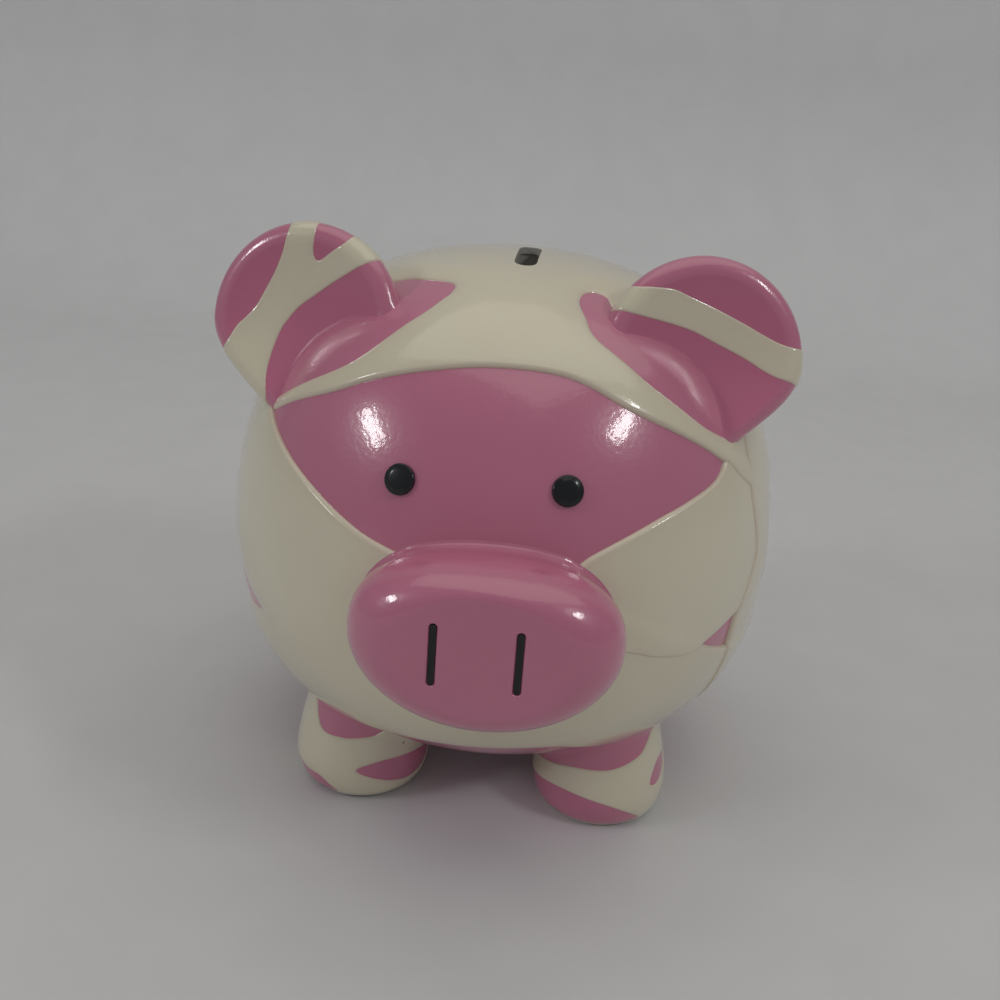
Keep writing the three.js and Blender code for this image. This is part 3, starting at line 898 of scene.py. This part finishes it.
# ---- feet ----
# The cream of each foot, as (degrees round, length along the profile): the upper edge of the cream,
# and the places where the pink shows.
FOOT_PATTERN = {
    "front_right": ([(-180, 52), (-50, 52), (-43, 44.8), (-34, 40.4), (-25, 39.2), (-3, 39.4), (24, 40.5),
                     (34, 44), (38, 52), (180, 52)], [
        [(5, 29.4), (18, 31.2), (32, 32.1), (59, 31.5), (80, 30), (100, 27), (86, 24), (60, 23), (47, 23.6),
         (32, 25.1), (12, 27.8)],
        [(-64, 25), (-42, 24.4), (-28, 24.5), (-19, 22.1), (-9, 18.8), (-20, 17.4), (-44, 17.4), (-62, 19),
         (-72, 22)]]),
    "front_left": ([(-180, 31), (-110, 31.5), (-82, 32.5), (-67, 34.3), (-49, 35.8), (-27, 37.7),
                    (-10, 38.4), (7, 38.8), (23, 40.4), (41, 42.6), (56, 47.3), (62, 52), (180, 52)], [
        [(-120, 24), (-77, 27), (-62, 28), (-35, 29.6), (-11, 29), (12, 27), (34, 22.8), (44, 19.5),
         (30, 17.5), (-10, 17.4), (-60, 17.4), (-110, 18), (-132, 21)],
        [(62, 37.4), (50, 32), (58, 30.4), (70, 31.5), (88, 35), (80, 38)]]),
}
FOOT_PATTERN["rear_left"] = FOOT_PATTERN["front_right"]
FOOT_PATTERN["rear_right"] = FOOT_PATTERN["front_left"]
FOOT_CREAM_LOW = [(178, 16.5), (90, 16.2), (0, 16.2), (-90, 16.2), (-178, 16.5)]
FOOT_RELIEF = 0.35
FOOT_SEAM = 0.99  # the upper edge ends just short of a whole turn, so that the cream's ends don't meet
FOOT_LIFT = 0.05  # the cream stays this far off the ground
SOLE_BELOW = 0.4  # faces of a foot lower than this are bare clay
FOOT_ROWS, FOOT_COLUMNS, FOOT_MARGIN = 110, 160, 0.5
lengths = np.linspace(FOOT_MARGIN, FOOT_PROFILE[0][-1] - FOOT_MARGIN, FOOT_ROWS)
across = np.arange(FOOT_COLUMNS) * 360 / FOOT_COLUMNS * FOOT_ROLL
grid_s, grid_turn = np.meshgrid(lengths, across, indexing="ij")
chart = np.stack([grid_turn, grid_s], -1).reshape(-1, 2)
for row in ("front", "rear"):
    for side in ("left", "right"):
        place = foot_place(row, side)
        middle = np.array([FOOT_X[side], FOOT_Y[row], 15.0])
        points, normals = with_normals(place, chart)
        sign = np.sign(((points - middle) * normals).sum())
        form = luted(points, normals * sign, FOOT_FILLET)
        form[:, 2] = np.maximum(form[:, 2], 0)
        faces = capped_grid(FOOT_ROWS, FOOT_COLUMNS)
        foot = mesh_piece(f"foot_{row}_{side}_form", form, faces, [PINK, SHADE_DARKENED_BISQUE],
                          replaces=[f"foot_{row}_{side}"])
        use_second(foot.data, [face.center.z < SOLE_BELOW * MM for face in foot.data.polygons])
        upper, windows = FOOT_PATTERN[f"{row}_{side}"]
        outline = np.vstack([np.array(upper, float) * [FOOT_SEAM, 1], FOOT_CREAM_LOW])
        unrolled = [FOOT_ROLL, 1]
        holes = [curve_through(np.array(window, float) * unrolled, 6, closed=True) for window in windows]
        turned_by = 0 if row == "front" else 180
        bandage(f"foot_{row}_{side}_bandage", place, sign, outline * unrolled, holes, FOOT_FILLET,
                FOOT_RELIEF, turned_by * FOOT_ROLL, FOOT_LIFT)

# ---- snout ----
# A fat cushion: its face is an ellipse, its rim rolls back past the widest place, fuller above.
SNOUT_X, SNOUT_Z, SNOUT_FRONT, SNOUT_DEEPEST = 4.5, CENTRE[2] - 6.5, -104.0, -52.0
SNOUT_WIDE, SNOUT_ABOVE, SNOUT_BELOW, SNOUT_FULL = 35.0, 21.0, 24.6, 0.84
FACE_WIDE, FACE_HIGH, FACE_DOME = 21.0, 15.5, 0.4
SNOUT_SOFT, SNOUT_ROLL = 14.0, 98
SNOUT_TAPER, SNOUT_DRAWN_IN, SNOUT_LEAN = 0.14, 4.0, 0.08
SNOUT_CORNERS_IN = 1.1  # the share by which the wall draws in further at the two upper corners
SNOUT_FLARE_TOP, SNOUT_FLARE_SIDE, SNOUT_ROOT = 1.2, 0.7, 1.5
SNOUT_COLUMNS, FACE_ROWS, ROLL_ROWS, WALL_ROWS = 320, 74, 34, 14
NOSTRIL_X, NOSTRIL_Z, NOSTRIL_SPACING = SNOUT_X - 1, SNOUT_Z + 0.1, 21.0
NOSTRIL_HALF, NOSTRIL_HEIGHT, NOSTRIL_DEPTH = 0.8, 16.4, 1.5
NOSTRIL_FLAT, NOSTRIL_EASE = 0.4, 1.0  # half its floor's width, and the width of the slope up from it
GLAZE_SUNK, GLAZE_CREEP, GLAZE_THICK = 0.75, 0.2, 1.6


def near_body(at, low, high, goal):
    """Where the points at(s) come within goal of the body, for s between low and high."""
    low, high = low.copy(), high.copy()
    for _ in range(24):
        middle = (low + high) / 2
        outside = body_gap(at(middle))[0] > goal
        low, high = np.where(outside, middle, low), np.where(outside, high, middle)
    return (low + high) / 2


turn = turns(SNOUT_COLUMNS)
cosine, sine = np.cos(turn), np.sin(turn)
full = np.where(sine > 0, SNOUT_FULL, 1.0)
outer = np.stack([SNOUT_WIDE * np.sign(cosine) * np.abs(cosine) ** full,
                  np.where(sine > 0, SNOUT_ABOVE, SNOUT_BELOW) * np.sign(sine) * np.abs(sine) ** full], -1)
face = np.stack([FACE_WIDE * cosine, FACE_HIGH * sine], -1)
step = np.roll(outer, -1, 0) - np.roll(outer, 1, 0)
away = np.stack([step[:, 1], -step[:, 0]], -1) / np.linalg.norm(step, axis=1, keepdims=True)
# Rows from the middle of the face to the back of the rim: (share of the face, share of the rim, back).
rows = [(share, 0.0, FACE_DOME * share ** 2) for share in np.linspace(0.01, 1, FACE_ROWS)]
rows += [(1.0, math.sin(t), FACE_DOME + SNOUT_SOFT * (1 - math.cos(t)))
         for t in np.radians(np.linspace(0, SNOUT_ROLL, ROLL_ROWS)[1:])]
rows = np.array(rows)
face_xz = face[None] * rows[:, 0, None, None] + (outer - face)[None] * rows[:, 1, None, None]
points = np.stack([face_xz[..., 0] + SNOUT_X, np.broadcast_to(rows[:, 2:3] + SNOUT_FRONT, face_xz.shape[:2]),
                   face_xz[..., 1] + SNOUT_Z], -1)
for side in (-1, 1):
    x = points[..., 0] - NOSTRIL_X - side * NOSTRIL_SPACING / 2
    z = points[..., 2] - NOSTRIL_Z
    reach = NOSTRIL_HEIGHT / 2 - NOSTRIL_HALF
    gap = np.hypot(x, z - np.clip(z, -reach, reach))
    sunk = NOSTRIL_DEPTH * (1 - smooth((gap - NOSTRIL_FLAT) / NOSTRIL_EASE))
    points[..., 1] += np.where(rows[:, 1:2] == 0, sunk, 0)
# The wall behind the rim runs back until it nears the body, then flares out on to it.
wall_xz = points[-1][:, [0, 2]]
wall_out = np.stack([away[:, 0], np.zeros(SNOUT_COLUMNS), away[:, 1]], -1)
rim_back = points[-1][:, 1]
deep = np.full(SNOUT_COLUMNS, SNOUT_DEEPEST)


def on_wall(y):
    """Points of the wall, which draws in and leans towards the head's middle as it runs back."""
    back = y - rim_back
    drawn = SNOUT_DRAWN_IN * (1 - np.exp(-back * SNOUT_TAPER / SNOUT_DRAWN_IN))
    drawn = drawn * (1 + SNOUT_CORNERS_IN * 2 * np.abs(away[:, 0]) * np.maximum(away[:, 1], 0))
    return np.stack([wall_xz[:, 0] - drawn * away[:, 0] - SNOUT_LEAN * back, y,
                     wall_xz[:, 1] - drawn * away[:, 1]], -1)


under = WRAP_HEIGHT * cover(way_of(on_wall(near_body(on_wall, rim_back, deep, 0.0))), WRAPS, LUTED_SOFT)
flare = SNOUT_FLARE_SIDE + (SNOUT_FLARE_TOP - SNOUT_FLARE_SIDE) * np.clip(away[:, 1], 0, 1) ** 2
flare_start = near_body(on_wall, rim_back, deep, under + flare)
wall_rows = [on_wall(rim_back + share * (flare_start - rim_back))
             for share in np.linspace(0, 1, WALL_ROWS)[1:]]
for t in np.linspace(0, np.pi / 2, WALL_ROWS)[1:]:
    at = on_wall(near_body(on_wall, rim_back, deep, under + flare * (1 - math.sin(t))))
    beyond = body_gap(at)[1]
    beside = wall_out - (wall_out * beyond).sum(-1, keepdims=True) * beyond
    wall_rows.append(at + beside * (flare * (1 - math.cos(t)))[:, None])
wall_rows.append(wall_rows[-1] - beyond * SNOUT_ROOT)
form = np.concatenate([points, np.array(wall_rows)])
faces = capped_grid(len(form), SNOUT_COLUMNS)
form = form.reshape(-1, 3)
mesh_piece("snout_disc", form, faces, [PINK], replaces=["snout"])
for side, label in ((-1, "right"), (1, "left")):
    outline = stadium(2 * NOSTRIL_HALF, NOSTRIL_HEIGHT)
    plan = patch(outline, [], 0.5, 0.3, 0.8)
    flat = plan[0] + [NOSTRIL_X + side * NOSTRIL_SPACING / 2, NOSTRIL_Z]
    sunk = GLAZE_SUNK - GLAZE_CREEP * np.exp(-plan[3] / 0.3)  # the glaze creeps up at the walls
    top = np.stack([flat[:, 0], SNOUT_FRONT + sunk, flat[:, 1]], -1)
    points, solid = closed_patch(plan, top, top + [0, GLAZE_THICK, 0])
    mesh_piece(f"nostril_{label}_glaze", points, solid, [BLACK])

# ---- eyes ----
EYES = {"left": (15.8, 21.6), "right": (-15.8, 20.6)}
EYE_CORNERS, EYE_ROUNDED = [(0, -3), (4.1, -3), (4.1, 1.0), (2.6, 1.55), (0, 1.75)], [0.1, 0.55, 2.0]
for label, (lon, lat) in EYES.items():
    seat = direction(lon, lat)
    middle, further = on_body(seat), on_body(seat, 1.0)
    points, faces = turned_mesh(rounded_profile(EYE_CORNERS, EYE_ROUNDED), 64)
    points = points @ turn_to(further - middle).T + middle
    mesh_piece(f"eye_{label}_button", points, faces, [BLACK], replaces=[f"eye_{label}"])

# ---- tail ----
TAIL_Z, TAIL_TUBE, TAIL_CURL, TAIL_START, TAIL_LENGTH, TAIL_TURNS = CENTRE[2] - 2, 3.0, 6.5, 78.0, 22.5, 1.2
# Shares of the tail's length: before the curl, at the rounded tip, and flared on to the body.
TAIL_STRAIGHT, TAIL_TIP, TAIL_JOINED = 0.2, 0.08, 0.45
TAIL_THICKER, TAIL_THINS, TAIL_THINNEST = 1.12, 0.3, 0.05
TAIL_FILLET, TAIL_ROWS, TAIL_SIDES = 4.0, 120, 40
t = np.linspace(0, 1, TAIL_ROWS)
turn = 2 * np.pi * TAIL_TURNS * np.maximum(0, t - TAIL_STRAIGHT) / (1 - TAIL_STRAIGHT)
path = np.stack([TAIL_CURL * np.sin(turn), TAIL_START + TAIL_LENGTH * t,
                 TAIL_Z + TAIL_CURL * (1 - np.cos(turn))], -1)
forward = np.gradient(path, axis=0)
forward /= np.linalg.norm(forward, axis=1, keepdims=True)
upward = np.cross(forward, [1.0, 0, 0])
upward /= np.linalg.norm(upward, axis=1, keepdims=True)
sideways = np.cross(forward, upward)
tip = np.sqrt(np.clip((1 - t) / TAIL_TIP, 0, 1))
thick = np.maximum(TAIL_TUBE * (TAIL_THICKER - TAIL_THINS * t) * tip, TAIL_THINNEST)
around = turns(TAIL_SIDES)[None, :, None]
spokes = upward[:, None] * np.cos(around) + sideways[:, None] * np.sin(around)
points = (path[:, None] + spokes * thick[:, None, None]).reshape(-1, 3)
joined = (t < TAIL_JOINED).repeat(TAIL_SIDES)
form = np.where(joined[:, None], luted(points, spokes.reshape(-1, 3), TAIL_FILLET), points)
faces = capped_grid(TAIL_ROWS, TAIL_SIDES)
mesh_piece("tail_curl", form, faces, [PINK], replaces=["tail"])

# ---- stopper ----
stopper_low = box_mm("stopper")[0][2]
FLANGE_THICK, FLANGE_RADIUS = 2.2, 19
TAB_SIZE, TAB_NARROWED, TAB_ROUNDED = (16, 3.6, 4.2), 0.86, 1.4
flange_low = stopper_low + 3.0
seat = flange_low + FLANGE_THICK
profile = rounded_profile([
    (0, flange_low), (11, flange_low), (12, flange_low - 0.6), (13, flange_low),
    (FLANGE_RADIUS, flange_low), (FLANGE_RADIUS, seat),
    (14.6, seat), (14.6, seat + 1.5), (14.9, seat + 2.2), (14.4, seat + 3), (13.6, seat + 8),
    (10.4, seat + 8), (10, seat + 1), (0, seat + 1),
], [0.4, 0.5, 0.4, 0.9, 0.9, 0.4, 0.4, 0.6, 0.4, 0.8, 0.8, 1.0])
points, faces = turned_mesh(profile, 96)
mesh_piece("stopper_plug", points, faces, [RUBBER], body="stopper",
           replaces=["stopper"])
tab = bmesh.new()
bmesh.ops.create_cube(tab, size=1.0, matrix=Matrix.Diagonal((*TAB_SIZE, 1)))
for vert in tab.verts:
    vert.co.x *= TAB_NARROWED if vert.co.z < 0 else 1.0
bmesh.ops.bevel(tab, geom=tab.edges[:], offset=TAB_ROUNDED, segments=4, profile=0.5, affect="EDGES")
tab_points = np.array([v.co for v in tab.verts]) + [0, 0, stopper_low + TAB_SIZE[2] / 2]
tab_faces = [tuple(v.index for v in f.verts) for f in tab.faces]
tab.free()
mesh_piece("stopper_tab", tab_points, tab_faces, [RUBBER], body="stopper")


# ---- the stage, the lights and the camera ----
def metres(x, y, z):
    return Vector((x, y, z)) * MM


def softbox(name, target, toward, far, size, power, colour=(1, 1, 1), spin=0):
    """A soft light that shines on target, in millimetres, from that direction, far metres away,
    turned by spin degrees about the way it shines."""
    data = bpy.data.lights.new(name, "AREA")
    data.shape, data.size, data.size_y = "RECTANGLE", size[0], size[1]
    data.energy, data.color = power, colour
    made = put(name, data)
    toward = Vector(toward).normalized()
    made.location = metres(*target) + toward * far
    made.rotation_mode = "QUATERNION"
    made.rotation_quaternion = (-toward).to_track_quat("-Z", "Y") @ Quaternion((0, 0, 1), math.radians(spin))
    return made


for name, at, toward, spin in (("left_panel", [-30.6, -66.5, 37.3], (-0.801, -0.422, 0.424), -30),
                               ("right_panel", [33.5, -61.7, 42.9], (0.727, -0.339, 0.597), 30)):
    softbox(name, CENTRE + at, toward, 1.6, (0.44, 0.15), 3.5, spin=spin)
softbox("ceiling", CENTRE, (0.05, 0.08, 1), 1.7, (2.3, 2.1), 10.0, (1.0, 0.94, 0.84))

world = bpy.data.worlds.new("studio")
bpy.context.scene.world = world
world.use_nodes = True
background = world.node_tree.nodes["Background"].inputs
background["Color"].default_value = (0.9, 0.95, 1.0, 1)
background["Strength"].default_value = 0.27

# The floor, in metres: flat from behind the camera, then bent up into a wall behind the bank.
FLOOR_FROM, FLOOR_TO, BEND, WALL_TOP, FLOOR_HALF = -2.5, 0.55, 0.25, 2.4, 3.0
sweep = [(FLOOR_FROM, 0.0), (FLOOR_TO, 0.0)]
sweep += [(FLOOR_TO + BEND * math.sin(a), BEND - BEND * math.cos(a))
          for a in np.linspace(0.1, math.pi / 2, 14)]
sweep += [(FLOOR_TO + BEND, WALL_TOP)]
stage_points = [(x, y, z) for y, z in sweep for x in (-FLOOR_HALF, FLOOR_HALF)]
stage_faces = [(2 * i, 2 * i + 1, 2 * i + 3, 2 * i + 2) for i in range(len(sweep) - 1)]
stage_mesh = bpy.data.meshes.new("floor")
stage_mesh.from_pydata(stage_points, [], stage_faces)
stage_mesh.materials.append(FLOOR)
stage_mesh.shade_smooth()
floor = put("floor", stage_mesh)

CAMERA_FROM_CENTRE = [23.0, -328.7, 119.9]
camera = put("camera", bpy.data.cameras.new("camera"))
bpy.context.scene.camera = camera
camera.data.lens, camera.data.sensor_width = 38.77, 36.0
yaw, pitch, roll = math.radians(-4.18), math.radians(20.65), math.radians(-4.33)
look = Vector((math.sin(yaw) * math.cos(pitch), math.cos(yaw) * math.cos(pitch), -math.sin(pitch)))
right = Vector((math.cos(yaw), -math.sin(yaw), 0))
down = look.cross(right)
tilted_right = math.cos(roll) * right + math.sin(roll) * down
tilted_down = -math.sin(roll) * right + math.cos(roll) * down
camera.matrix_world = Matrix.Translation(metres(*(CENTRE + CAMERA_FROM_CENTRE))) @ Matrix(
    (tilted_right, -tilted_down, -look)).transposed().to_4x4()

bpy.context.scene.view_settings.view_transform = "Standard"
